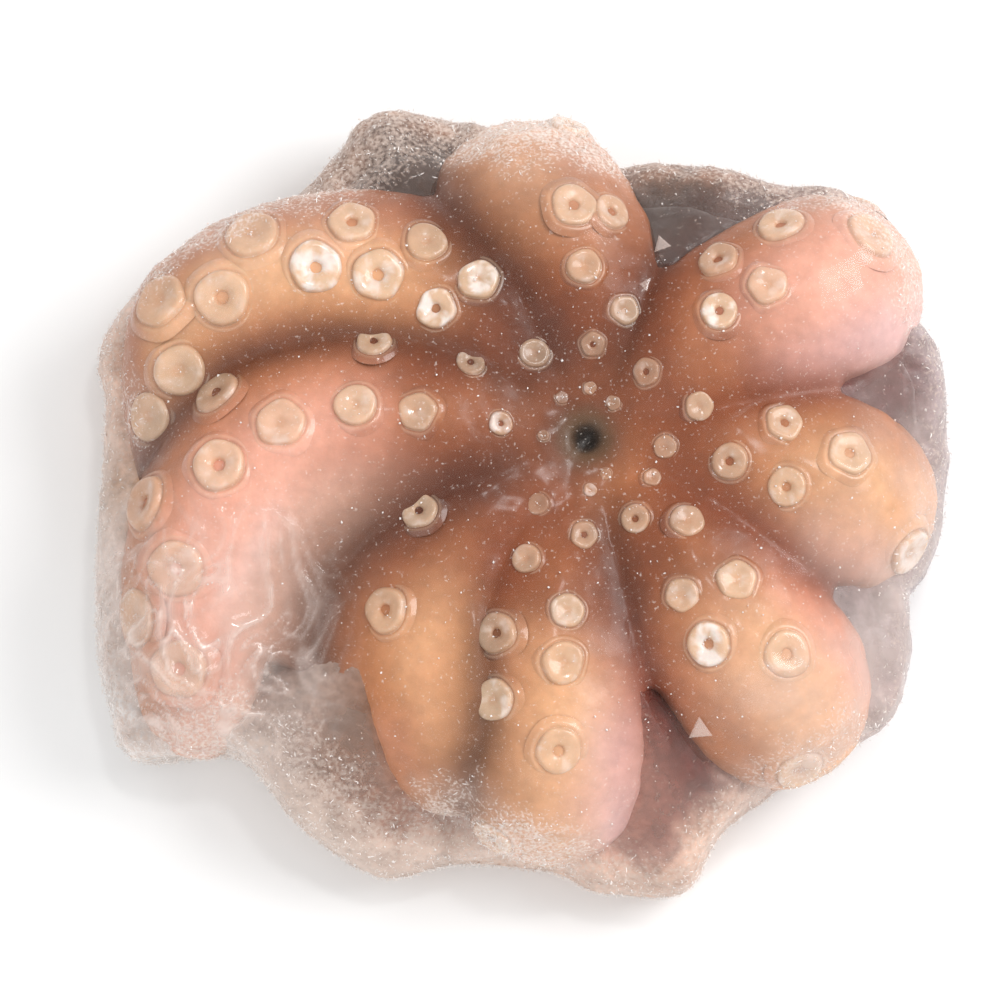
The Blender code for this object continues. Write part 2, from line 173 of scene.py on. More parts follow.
# Fog under the film by direction: degrees and how dense it is.
FOG = ((-180, 0.10), (-60, 0.12), (-35, 0.42), (-5, 0.36), (12, 0.16), (40, 0.10), (180, 0.10))
GRAIN_COUNT = 14000
FLAKE_COUNT = 16000
# Splinters of ice: place, size, spin and tilt.
SHARDS = (((36.6, 62.0), 2.8, 20, 34), ((32.0, 50.5), 2.2, 75, -40), ((46.0, -67.0), 3.6, 5, 18))
SHARD_THICK = 0.5
SHARD_VEIL = 0.28

# ---- stage (m, degrees and watts) --------------------------------------------------------------
FLOOR_SIZE = 6.0
FLOOR_DROP = 0.0003
FLOOR_WHITE = (0.93, 0.93, 0.93, 1.0)
SKY_STRENGTH = 0.72
LAMPS = (("key", (1.0, 0.35, 1.1), 0.8, 13.0), ("fill", (-0.5, -0.7, 1.2), 1.2, 4.0),
         ("glint", (0.2, 0.35, 1.3), 0.12, 1.6))   # name, place, size and power
CAMERA_TARGET = (-0.0063, -0.001, 0.025)
CAMERA_TILT = 80.0
CAMERA_DISTANCE = 1.2
CAMERA_NEAREST = 0.05
SENSOR_WIDTH = 36.0
VIEW_WIDTH = 0.27


# ---- general helpers ---------------------------------------------------------------------------
def smoothstep(value, low, high):
    """Ease from 0 at low to 1 at high."""
    share = np.clip((value - low) / (high - low), 0.0, 1.0)
    return share * share * (3.0 - 2.0 * share)


def mix(first, second, share):
    """Blend rows of colours by a share for each row."""
    share = np.asarray(share)[:, None]
    return first * (1.0 - share) + second * share


def soft_noise(points, size, seed):
    """Return smooth noise between -1 and 1 whose features have a given size."""
    table = np.random.default_rng(seed).uniform(-1.0, 1.0, (32, 32, 32))
    scaled = points / size
    cell = np.floor(scaled).astype(int)
    inside = scaled - cell
    inside = inside * inside * (3.0 - 2.0 * inside)
    total = np.zeros(len(points))
    for corner in itertools.product((0, 1), repeat=3):
        weight = np.prod(np.where(corner, inside, 1.0 - inside), axis=1)
        total += weight * table[tuple(((cell + corner) % 32).T)]
    return total


def layered_noise(points, size, seed, layers=3):
    """Add finer and weaker noise to coarse noise."""
    total = np.zeros(len(points))
    for layer in range(layers):
        total += soft_noise(points, size / 2 ** layer, seed + layer) / 2 ** layer
    return total / 1.75


def smooth_curve(points, step):
    """Sample a curve through the points at an even spacing."""
    knots = np.asarray(points, dtype=float)
    ends = np.vstack([2 * knots[0] - knots[1], knots, 2 * knots[-1] - knots[-2]])
    fine = []
    for index in range(1, len(ends) - 2):
        before, start, end, after = ends[index - 1:index + 3]
        for share in np.linspace(0.0, 1.0, 24, endpoint=False):
            fine.append(0.5 * (2 * start + (end - before) * share
                               + (2 * before - 5 * start + 4 * end - after) * share ** 2
                               + (3 * start - before - 3 * end + after) * share ** 3))
    fine.append(knots[-1])
    return even_spacing(np.array(fine), step)


def even_spacing(points, step):
    """Resample a polyline at an even spacing."""
    lengths = np.concatenate([[0.0], np.cumsum(np.linalg.norm(np.diff(points, axis=0), axis=1))])
    count = max(2, int(round(lengths[-1] / step)) + 1)
    places = np.linspace(0.0, lengths[-1], count)
    return np.column_stack([np.interp(places, lengths, points[:, axis])
                            for axis in range(points.shape[1])])


def add_object(name, mesh):
    """Put a mesh into the scene as an object."""
    made = bpy.data.objects.new(name, mesh)
    bpy.context.scene.collection.objects.link(made)
    return made


def mesh_from_arrays(name, points, faces):
    """Make a mesh from points in millimetres and faces."""
    mesh = bpy.data.meshes.new(name)
    mesh.from_pydata((np.asarray(points) * MM).tolist(), [], np.asarray(faces).tolist())
    mesh.update()
    return mesh


def points_of(mesh):
    """Return a mesh's points in millimetres."""
    flat = np.empty(3 * len(mesh.vertices))
    mesh.vertices.foreach_get("co", flat)
    return flat.reshape(-1, 3) / MM


def normals_of(mesh):
    """Return a mesh's point normals."""
    flat = np.empty(3 * len(mesh.vertices))
    mesh.vertex_normals.foreach_get("vector", flat)
    return flat.reshape(-1, 3)


def move_points(mesh, points):
    """Set a mesh's points from millimetres."""
    mesh.vertices.foreach_set("co", (np.asarray(points) * MM).ravel())
    mesh.update()


def paint(mesh, name, colours):
    """Store a colour for each point."""
    rgba = np.ones((len(colours), 4))
    rgba[:, :3] = np.clip(colours, 0.0, 1.0)
    layer = mesh.color_attributes.new(name, "FLOAT_COLOR", "POINT")
    layer.data.foreach_set("color", rgba.ravel())


def store(mesh, name, values):
    """Store a number for each point."""
    layer = mesh.attributes.new(name, "FLOAT", "POINT")
    layer.data.foreach_set("value", np.clip(values, 0.0, 1.0))


def evaluated_copy(item):
    """Replace an object's mesh with its evaluated mesh."""
    bpy.context.view_layer.update()
    graph = bpy.context.evaluated_depsgraph_get()
    mesh = bpy.data.meshes.new_from_object(item.evaluated_get(graph))
    item.modifiers.clear()
    item.data = mesh


def grid_faces(rows, columns, closed):
    """List the faces of a grid of points, whose columns may close on themselves."""
    row, column = np.meshgrid(np.arange(rows - 1), np.arange(columns if closed else columns - 1),
                              indexing="ij")
    after = (column + 1) % columns
    return np.stack([row * columns + column, row * columns + after,
                     (row + 1) * columns + after, (row + 1) * columns + column],
                    axis=-1).reshape(-1, 4)


# ---- arms --------------------------------------------------------------------------------------
def arm_radius(distance, girth):
    """Return the radius of an arm at a distance from the mouth."""
    where, radius = np.array(ARM_RADIUS, dtype=float).T
    return girth * np.interp(distance, where, radius)


def arm_crest(distance, crest):
    """Return the height of an arm's top at a distance from the mouth."""
    low, high, drop = CREST_DROP
    rise = smoothstep(distance, 5.0, CREST_RISE)
    return MOUTH_TOP + (crest - MOUTH_TOP) * rise - drop * smoothstep(distance, low, high)


def arm_route(arm):
    """Work out an arm's core: points, radii, outward directions and distances from the mouth."""
    plan = smooth_curve(arm.plan, ROUTE_STEP)
    start = np.linalg.norm(plan[0] - np.array(MOUTH))
    distance = start + np.concatenate(
        [[0.0], np.cumsum(np.linalg.norm(np.diff(plan, axis=0), axis=1))])
    height = arm_crest(distance, arm.crest) - arm_radius(distance, arm.girth)
    points = [Vector((x, y, z)) for (x, y), z in zip(plan, height)]
    outward = [Vector((0, 0, 1)) for _ in points]
    heading = Vector((*(plan[-1] - plan[-2]), 0)).normalized()
    tail_height = TUCK * arm_radius(distance[-1] + 70.0, arm.girth)
    turn = 0.5 * (points[-1].z - tail_height)
    middle = points[-1] - Vector((0, 0, turn))
    stations = list(distance)
    for angle in np.linspace(0.0, math.pi, 8)[1:]:
        way = heading * math.sin(angle) + Vector((0, 0, math.cos(angle)))
        points.append(middle + way * turn)
        outward.append(way)
        stations.append(stations[-1] + turn * math.pi / 7)
    for _ in range(int(TAIL_LENGTH / ROUTE_STEP)):
        points.append(points[-1] - heading * ROUTE_STEP)
        outward.append(Vector((0, 0, -1)))
        stations.append(stations[-1] + ROUTE_STEP)
    stations = np.array(stations)
    return points, arm_radius(stations, arm.girth), outward, stations


def make_tube(name, points, radii):
    """Make a tapering tube from a curve with filled caps."""
    curve = bpy.data.curves.new(name, "CURVE")
    curve.dimensions = "3D"
    curve.bevel_depth = MM
    curve.bevel_resolution = 8
    curve.use_fill_caps = True
    spline = curve.splines.new("POLY")
    spline.points.add(len(points) - 1)
    for knot, place, radius in zip(spline.points, points, radii):
        knot.co = (*(place * MM), 1.0)
        knot.radius = radius
    guide = add_object(name, curve)
    bpy.context.view_layer.update()
    graph = bpy.context.evaluated_depsgraph_get()
    mesh = bpy.data.meshes.new_from_object(guide.evaluated_get(graph))
    bpy.data.objects.remove(guide)
    return mesh


def make_ellipsoid(name, centre, half_axes):
    """Make an ellipsoid."""
    shape = bmesh.new()
    bmesh.ops.create_uvsphere(shape, u_segments=64, v_segments=32, radius=1.0)
    bmesh.ops.scale(shape, vec=Vector(half_axes) * MM, verts=shape.verts)
    bmesh.ops.translate(shape, vec=Vector(centre) * MM, verts=shape.verts)
    mesh = bpy.data.meshes.new(name)
    shape.to_mesh(mesh)
    shape.free()
    return mesh


def core_table(arm):
    """Return an arm's core as arrays: points, radii, stations, tangents and outward directions."""
    points, radii, outward, stations = arm_route(arm)
    points = np.array(points)
    tangents = np.gradient(points, axis=0)
    tangents /= np.linalg.norm(tangents, axis=1)[:, None]
    outward = np.array(outward)
    outward = outward - tangents * np.sum(outward * tangents, axis=1)[:, None]
    outward /= np.linalg.norm(outward, axis=1)[:, None]
    return points, np.asarray(radii), stations, tangents, outward


def locate_on_arms(points):
    """Find for each point its nearest arm, the next one, how much further that is, and where on
    the nearest arm it lies: the distance from the mouth and the roll to the left in degrees."""
    depths = []
    stations = []
    rolls = []
    for arm in ARMS.values():
        core, radii, along, tangents, outward = core_table(arm)
        best = np.full(len(points), 1e9)
        which = np.zeros(len(points), dtype=int)
        for index, (place, radius) in enumerate(zip(core, radii)):
            depth = np.linalg.norm(points - place, axis=1) - radius
            nearer = depth < best
            best[nearer] = depth[nearer]
            which[nearer] = index
        offset = points - core[which]
        left = np.cross(outward[which], tangents[which])
        roll = np.degrees(np.arctan2(np.sum(offset * left, axis=1),
                                     np.sum(offset * outward[which], axis=1)))
        shift = np.sum(offset * tangents[which], axis=1)
        depths.append(best)
        stations.append(along[which] + shift)
        rolls.append(roll)
    depths = np.array(depths)
    order = np.argsort(depths, axis=0)
    rows = np.arange(len(points))
    first, second = order[0], order[1]
    gap = depths[second, rows] - depths[first, rows]
    return first, second, gap, np.array(stations)[first, rows], np.array(rolls)[first, rows]


# ---- how far in from the outline ---------------------------------------------------------------
def outline_plan(step):
    """Return the closed outline at an even spacing."""
    closed = np.vstack([OUTLINE, OUTLINE[:1]])
    return smooth_curve(closed, step)[:-1]


def inset_of(points):
    """Return how far points lie inside the block's outline, in plan."""
    border = outline_plan(2.0)
    best = np.full(len(points), 1e9)
    for place in border:
        best = np.minimum(best, np.hypot(points[:, 0] - place[0], points[:, 1] - place[1]))
    return best


# ---- by direction ------------------------------------------------------------------------------
def by_direction(table, points, column):
    """Read a table of values by direction, as numbers or colours, for each point."""
    angle = np.degrees(np.arctan2(points[:, 1], points[:, 0]))
    where = [row[0] for row in table]
    values = np.array([row[column] for row in table], dtype=float)
    if values.ndim == 1:
        return np.interp(angle, where, values)
    return np.column_stack([np.interp(angle, where, channel) for channel in values.T])


def rime_on(points):
    """Return how thickly frost lies at each point, from 0 to 1."""
    depth = by_direction(RIME, points, 2)
    wander = layered_noise(points, 11.0, 83)
    reach = smoothstep(1.0 - inset_of(points) / depth + 0.45 * wander, 0.0, 0.75)
    return by_direction(RIME, points, 1) * reach


# ---- the skin stretched over the block ---------------------------------------------------------
def ice_height(plan):
    """Return how high the ice stands in the direction of each point of the outline."""
    angle = np.degrees(np.arctan2(plan[:, 1], plan[:, 0]))
    where, height = np.array(ICE_HEIGHTS, dtype=float).T
    return np.interp(angle, where, height)


def height_map(surfaces, xs, ys):
    """Look down on the surfaces and return their height over a grid, or 0 where there is none."""
    down = Vector((0, 0, -1))
    heights = np.zeros((len(ys), len(xs)))
    for row, y in enumerate(ys):
        for column, x in enumerate(xs):
            start = Vector((x, y, SKY_HEIGHT)) * MM
            for surface in surfaces:
                hit = surface.ray_cast(start, down)[0]
                if hit is not None:
                    heights[row, column] = max(heights[row, column], hit.z / MM)
    return heights


def stretch(heights, rounds):
    """Draw a skin over the heights: it touches the tops and bridges the hollows."""
    skin = heights.copy()
    for _ in range(rounds):
        soft = skin.copy()
        soft[1:-1, 1:-1] = 0.25 * (skin[:-2, 1:-1] + skin[2:, 1:-1]
                                   + skin[1:-1, :-2] + skin[1:-1, 2:])
        skin = np.maximum(heights, soft)
    return skin


def inside_outline(points):
    """Tell which points lie inside the block's outline, in plan."""
    border = outline_plan(4.0)
    inside = np.zeros(len(points), dtype=bool)
    for (x0, y0), (x1, y1) in zip(border, np.roll(border, -1, axis=0)):
        if y0 != y1:
            spans = (y0 > points[:, 1]) != (y1 > points[:, 1])
            crossing = x0 + (points[:, 1] - y0) * (x1 - x0) / (y1 - y0)
            inside ^= spans & (points[:, 0] < crossing)
    return inside


Skin = namedtuple("Skin", "xs ys heights flesh")


def block_skin(surface):
    """Stretch a skin over the arms and the rim, as a height for each point of a grid."""
    xs = np.arange(-120.0, 121.0, WEB_PITCH)
    ys = np.arange(-112.0, 113.0, WEB_PITCH)
    across, along = np.meshgrid(xs, ys)
    plan = np.column_stack([across.ravel(), along.ravel()])
    inside = inside_outline(plan)
    rim = ice_height(plan) * smoothstep(inset_of(plan), -4.0, ICE_SHOULDER)
    flesh = height_map((surface,), xs, ys)
    heights = np.maximum(flesh, (rim * inside).reshape(flesh.shape))
    skin = stretch(heights, WEB_ROUNDS) * (inside.reshape(flesh.shape) | (flesh > 0.0))
    return Skin(xs, ys, skin, flesh)


def look_up(skin, points):
    """Return the skin's height above each point."""
    across = (points[:, 0] - skin.xs[0]) / WEB_PITCH
    along = (points[:, 1] - skin.ys[0]) / WEB_PITCH
    column = np.floor(across).astype(int)
    row = np.floor(along).astype(int)
    over = across - column
    up = along - row
    low = skin.heights[row, column] * (1 - over) + skin.heights[row, column + 1] * over
    high = skin.heights[row + 1, column] * (1 - over) + skin.heights[row + 1, column + 1] * over
    return low * (1 - up) + high * up


# ---- flesh -------------------------------------------------------------------------------------
def valley_traits(first, second, station):
    """Return the colour and width of the valley beside each point."""
    names = list(ARMS)
    near = np.tile(RUST, (len(first), 1))
    far = near.copy()
    width = np.ones(len(first))
    for (one, other), (near_colour, far_colour, wide) in VALLEYS.items():
        match = np.isin(first, (names.index(one), names.index(other)))
        match &= np.isin(second, (names.index(one), names.index(other)))
        near[match] = near_colour
        far[match] = far_colour
        width[match] = wide
    return mix(near, far, smoothstep(station, 30.0, 75.0)), width


def arm_colours(points):
    """Work out the colour of the arms and the valleys between them, with painted shade, at each
    point.
    """
    first, second, gap, station, roll = locate_on_arms(points)
    wander = layered_noise(points, 26.0, 11)
    mottle = layered_noise(points, 9.0, 23)
    sides = {name: np.array([getattr(arm, name) for arm in ARMS.values()])[first]
             for name in ("left", "top", "right")}
    turned = roll + 16.0 * wander
    body = mix(sides["top"], sides["left"], smoothstep(turned, 8.0, 50.0))
    body = mix(body, sides["right"], smoothstep(-turned, 8.0, 50.0))
    body = mix(body, SALMON, 0.35 * smoothstep(layered_noise(points, 17.0, 29), -0.1, 0.7))
    near = mix(np.tile(RUST, (len(points), 1)), AMBER, 0.7 * smoothstep(mottle, -0.3, 0.9))
    body = mix(near, body, smoothstep(station + 12.0 * wander, 28.0, 78.0))
    colour, wide = valley_traits(first, second, station)
    width = wide * (2.4 + 0.035 * np.clip(station, 0.0, 90.0)) * (1.0 + 0.3 * wander)
    valley = np.exp(-(gap / width) ** 2) * smoothstep(station, 6.0, 26.0)
    body = mix(body, colour, 0.9 * valley)
    # painted shade: the flesh darkens in a broad band along the valleys between the arms
    shade = np.exp(-(gap / (2.2 * width)) ** 2) * smoothstep(station, 6.0, 40.0)
    body = mix(body, body * (0.74, 0.56, 0.42), shade)
    # painted shade: flesh below 40 mm is darkened by up to a quarter
    low = smoothstep(40.0 - points[:, 2], 0.0, 26.0)
    body = body * (1.0 - 0.25 * low)[:, None]
    return body * (1.0 + 0.14 * mottle)[:, None]


def flesh_colours(points, body):
    """Add the pale veil at the rim and the dark mouth to the colour of the arms."""
    body = mix(body, VEIL, 0.5 * rime_on(points))
    reach = np.hypot(points[:, 0] - MOUTH[0], points[:, 1] - MOUTH[1])
    reach = reach + 1.5 * layered_noise(points, 9.0, 23)
    body = body * (1.0 - 0.35 * smoothstep(17.0 - reach, 0.0, 9.0))[:, None]
    body = mix(body, MOSS, 0.75 * smoothstep(10.5 - reach, 0.0, 6.5))
    return mix(body, INK, 0.95 * smoothstep(4.6 - reach, 0.0, 2.6))


def bleed(mesh, colours, rounds):
    """Let colours run into each other over a mesh."""
    ends = np.empty(2 * len(mesh.edges), dtype=int)
    mesh.edges.foreach_get("vertices", ends)
    one, other = ends.reshape(-1, 2).T
    here = np.concatenate([one, other])
    there = np.concatenate([other, one])
    count = np.maximum(np.bincount(here, minlength=len(colours)), 1)
    for _ in range(rounds):
        colours = np.column_stack([
            0.5 * channel + 0.5 * np.bincount(here, channel[there], len(colours)) / count
            for channel in colours.T])
    return colours


def melt(item):
    """Fuse an object into one even, softened skin."""
    remesh = item.modifiers.new("melt", "REMESH")
    remesh.mode = "VOXEL"
    remesh.voxel_size = SKIN_VOXEL * MM
    smooth = item.modifiers.new("soften", "SMOOTH")
    smooth.factor = 0.5
    smooth.iterations = 10
    evaluated_copy(item)


def fill_valleys(mesh, skin):
    """Raise the web between the arms part of the way to the skin that is stretched over them."""
    points = points_of(mesh)
    upward = smoothstep(normals_of(mesh)[:, 2], 0.0, 0.4) * (points[:, 2] > 20.0)
    rise = np.maximum(look_up(skin, points) - points[:, 2], 0.0)
    points[:, 2] += WEB_SHARE * upward * rise
    move_points(mesh, points)


def shape_flesh(mesh):
    """Give the smooth skin its lumps, creases, mouth and flat underside."""
    points = points_of(mesh)
    normals = normals_of(mesh)
    _, _, gap, station, _ = locate_on_arms(points)
    lumps = 1.0 * layered_noise(points, 22.0, 3) + 0.3 * layered_noise(points, 6.0, 5)
    crease = -0.8 * np.exp(-(gap / 2.0) ** 2) * smoothstep(station, 8.0, 40.0)
    crust = 0.9 * layered_noise(points, 2.6, 7) * rime_on(points)
    points = points + normals * (lumps + crease + crust)[:, None]
    reach = np.hypot(points[:, 0] - MOUTH[0], points[:, 1] - MOUTH[1])
    above = points[:, 2] > 30.0
    points[:, 2] -= np.where(above, 5.0 * np.exp(-(reach / 3.2) ** 2), 0.0)
    points[:, 2] = np.maximum(points[:, 2], 0.0)
    move_points(mesh, points)


def make_flesh():
    """Make the octopus's body from its arms, web and mantle."""
    shape = bmesh.new()
    for name, arm in ARMS.items():
        points, radii, _, _ = arm_route(arm)
        shape.from_mesh(make_tube(name, points, radii))
    for name, (centre, half_axes) in (("mantle", MANTLE), ("crown", CROWN)):
        shape.from_mesh(make_ellipsoid(name, centre, half_axes))
    mesh = bpy.data.meshes.new("octopus_flesh")
    shape.to_mesh(mesh)
    shape.free()
    flesh = add_object("octopus_flesh", mesh)
    melt(flesh)
    skin = block_skin(surface_of(flesh))
    fill_valleys(flesh.data, skin)
    melt(flesh)
    shape_flesh(flesh.data)
    points = points_of(flesh.data)
    body = bleed(flesh.data, arm_colours(points), BLEED_ROUNDS)
    paint(flesh.data, "tone", flesh_colours(points, body))
    store(flesh.data, "rime", rime_on(points))
    flesh.data.shade_smooth()
    return flesh, skin


# ---- suckers -----------------------------------------------------------------------------------
def sucker_stations(arm, start):
    """List the distances from the mouth at which an arm has suckers."""
    first, growth = SUCKER_STEP
    distance = SUCKER_FIRST + start
    found = []
    while distance < arm.last:
        found.append(distance)
        distance += arm.spacing * (first + growth * distance)
    return found


def sucker_radius(distance):
    """Return a sucker's radius at a distance from the mouth."""
    largest, reach = SUCKER_RADIUS
    fade = smoothstep(distance, *SUCKER_FADE)
    return largest * (1.0 - math.exp(-distance / reach)) * (1.0 - 0.6 * fade)


def core_frame(route, distance):
    """Return the core's place, radius, tangent and outward direction at a distance."""
    points, radii, outward, stations = route
    index = int(np.clip(np.searchsorted(stations, distance), 1, len(points) - 1))
    share = (distance - stations[index - 1]) / (stations[index] - stations[index - 1])
    place = points[index - 1].lerp(points[index], share)
    tangent = (points[index] - points[index - 1]).normalized()
    out = outward[index - 1].lerp(outward[index], share)
    out = (out - tangent * out.dot(tangent)).normalized()
    radius = radii[index - 1] + share * (radii[index] - radii[index - 1])
    return place, radius, tangent, out


def surface_of(item):
    """Return a search tree of an object's surface."""
    return BVHTree.FromPolygons([v.co.copy() for v in item.data.vertices],
                                [tuple(p.vertices) for p in item.data.polygons])


Sucker = namedtuple("Sucker", "place facing size")


def place_suckers(surface):
    """Work out every sucker: where it sits on the skin, which way it faces and its radius."""
    chance = random.Random(8)
    found = []
    for number, arm in enumerate(ARMS.values()):
        route = arm_route(arm)
        side = 1 if number % 2 else -1
        for distance in sucker_stations(arm, 1.5 * (number % 3)):
            side = -side
            place, radius, tangent, out = core_frame(route, distance)
            share = smoothstep(distance, 15.0, 90.0)
            roll = arm.roll[0] + (arm.roll[1] - arm.roll[0]) * share + side * arm.spread
            roll += chance.uniform(-2.0, 2.0)
            size = sucker_radius(distance) * chance.uniform(0.88, 1.08)
            way = Matrix.Rotation(math.radians(-roll), 3, tangent) @ out
            start = (place + way * radius * 1.9) * MM
            hit, normal, _, gap = surface.ray_cast(start, -way)
            if hit is None or gap < 0.55 * radius * MM or hit.z < SUCKER_LOWEST * MM:
                continue
            if normal.dot(way) < 0.35:
                continue
            facing = (normal + 0.6 * way).normalized()
            spot = hit / MM
            if all((spot - other.place).length > SUCKER_GAP * (size + other.size)
                   for other in found):
                found.append(Sucker(spot, facing, size))
    return found


# A sucker's half section: share of its radius out from its axis, and up from the skin.
PLAIN_SECTION = ((0.0, 0.08), (0.10, 0.085), (0.20, 0.10), (0.34, 0.15), (0.55, 0.19),
                 (0.72, 0.22), (0.84, 0.225), (0.93, 0.19), (0.985, 0.12), (1.0, 0.05),
                 (1.02, -0.01), (1.07, 0.0), (1.15, 0.02), (1.28, -0.05), (1.5, -0.28))
HOLED_SECTION = ((0.0, -0.32), (0.12, -0.30), (0.19, -0.12), (0.24, 0.06), (0.32, 0.15),
                 (0.55, 0.19), (0.72, 0.22), (0.84, 0.225), (0.93, 0.19), (0.985, 0.12),
                 (1.0, 0.05), (1.02, -0.01), (1.07, 0.0), (1.15, 0.02), (1.28, -0.05),
                 (1.5, -0.28))


def make_suckers(placed):
    """Make all the suckers, each turned, a little out of round and faded into the skin."""
    chance = random.Random(5)
    points = []
    faces = []
    inner = []
    shades = []
    count = 0
    for sucker in placed:
        holed = chance.random() < 0.5 and sucker.size > 2.5
        section = np.array(HOLED_SECTION if holed else PLAIN_SECTION)
        ring = np.linspace(0.0, 2 * math.pi, SUCKER_SIDES, endpoint=False)
        wobble = 1.0
        for waves in (2, 3, 5):
            wobble = wobble + chance.uniform(-0.04, 0.04) * np.cos(waves * ring
                                                                   + chance.uniform(0, 6.3))
        lift = chance.uniform(0.8, 1.3)
        tilt = chance.uniform(-0.12, 0.12) * np.cos(ring + chance.uniform(0, 6.3))
        out = section[:, :1] * wobble[None, :]
        up = section[:, 1:] * lift + tilt[None, :] * section[:, :1]
        size = SUCKER_SWELL * sucker.size
        local = np.stack([out * np.cos(ring), out * np.sin(ring), up], axis=-1) * size
        turn = Vector((0, 0, 1)).rotation_difference(sucker.facing).to_matrix()
        points.append(local.reshape(-1, 3) @ np.array(turn).T + np.array(sucker.place))
        faces.append(grid_faces(len(section), SUCKER_SIDES, True)[:, ::-1] + count)
        inner.append(np.repeat(section[:, 0], SUCKER_SIDES))
        shades.append(np.full(local[..., 0].size, chance.uniform(0.0, 1.0)))
        count += local[..., 0].size
    points = np.vstack(points)
    mesh = mesh_from_arrays("suckers", points, np.vstack(faces))
    paint(mesh, "tone", sucker_colours(points, np.concatenate(inner), np.concatenate(shades)))
    store(mesh, "rime", rime_on(points))
    mesh.shade_smooth()
    return add_object("suckers", mesh)


def sucker_colours(points, inner, shades):
    """Colour suckers cream, with painted shade in the crease round each and a skirt of flesh."""
    flesh = flesh_colours(points, arm_colours(points))
    mottle = layered_noise(points, 2.6, 31)
    cream = mix(flesh, CREAM, 0.45 + 0.35 * shades)
    cream = mix(cream, AMBER, 0.25 * smoothstep(0.36 - inner, 0.0, 0.2))
    frosted = smoothstep(shades, 0.75, 0.85)
    cream = mix(cream, FROST, (0.3 + 0.6 * frosted) * smoothstep(mottle + 0.3 * frosted, 0.1, 0.6))
    reach = np.hypot(points[:, 0] - MOUTH[0], points[:, 1] - MOUTH[1])
    disc = smoothstep(1.06 - inner, 0.0, 0.06) * (0.35 + 0.65 * smoothstep(reach, 8.0, 45.0))
    colour = mix(flesh, cream, disc)
    # painted shade: a darker ring in the crease at the foot of each sucker's rim
    rim_shade = np.exp(-((inner - 1.03) / 0.04) ** 2) * shades
    colour = mix(colour, colour * (0.66, 0.52, 0.42), rim_shade)
    halo = np.exp(-((inner - 1.16) / 0.08) ** 2)
    return mix(colour, CREAM, 0.22 * halo)


# ---- ice ---------------------------------------------------------------------------------------
def even_out(values, reach):
    """Average each value of a closed row with its neighbours."""
    kernel = np.ones(2 * reach + 1) / (2 * reach + 1)
    wrapped = np.concatenate([values[-reach:], values, values[:reach]])
    return np.convolve(wrapped, kernel, mode="valid")


def make_ice(skin):
    """Make the cragged ice that fills the block between the arms."""
    plan = outline_plan(ICE_SPACING)
    plan = plan * (1.0 - 1.5 / np.hypot(*plan.T))[:, None]
    reach = np.hypot(*plan.T)
    shoulder = ICE_SHOULDER
    section = [(ICE_FOOT, 0.0, 0.0), (0.35 * ICE_FOOT, 4.0, 0.0), (0.0, 11.0, 0.0),
               (0.0, -shoulder, 1.0), (0.3 * shoulder, -0.3 * shoulder, 1.0),
               (shoulder, 0.0, 1.0), (2.2 * shoulder, 0.0, 1.0), (3.8 * shoulder, -2.0, 1.0),
               (4.6 * shoulder, -10.0, 1.0)]
    across_rim = plan * (1.0 - 1.5 * shoulder / reach)[:, None]
    cover = look_up(skin._replace(heights=skin.flesh), across_rim) / look_up(skin, across_rim)
    arm_there = even_out(smoothstep(cover, 0.5, 0.95), 12)
    rows = []
    for inset, up, top in smooth_curve(section, ICE_SPACING):
        place = plan * (1.0 - inset / reach)[:, None]
        settled = plan * (1.0 - max(inset, shoulder) / reach)[:, None]
        filled = look_up(skin, settled) - ICE_DROP
        beside_arm = np.minimum(filled - 6.0, ice_height(plan))
        height = filled * (1.0 - arm_there) + beside_arm * arm_there
        rows.append(np.column_stack([place, up + top * height]))
    points = np.vstack(rows)
    mesh = mesh_from_arrays("ice_rim", points, grid_faces(len(rows), len(plan), True))
    crag = 0.9 * layered_noise(points, 9.0, 41) + 0.5 * layered_noise(points, 3.0, 47)
    points = points + normals_of(mesh) * crag[:, None]
    points[:, 2] = np.maximum(points[:, 2], 0.0)
    move_points(mesh, points)
    inset = inset_of(points)
    mottle = layered_noise(points, 5.0, 53)
    edge = smoothstep(15.0 + 5.0 * mottle - inset, 0.0, 13.0)
    tone = mix(by_direction(ICE_TINTS, points, 1), by_direction(ICE_TINTS, points, 2), edge)
    paint(mesh, "tone", tone * (1.0 + 0.12 * mottle)[:, None])
    store(mesh, "rime", rime_on(points))
    store(mesh, "body", 0.62 + 0.30 * edge + 0.15 * mottle)
    mesh.shade_smooth()
    return add_object("ice_rim", mesh)


# ---- film --------------------------------------------------------------------------------------
def ridges(points, warp, size, seed):
    """Return sharp branching ridges between 0 and 1."""
    return np.clip(1.0 - 1.7 * np.abs(soft_noise(points + warp, size, seed)), 0.0, 1.0)


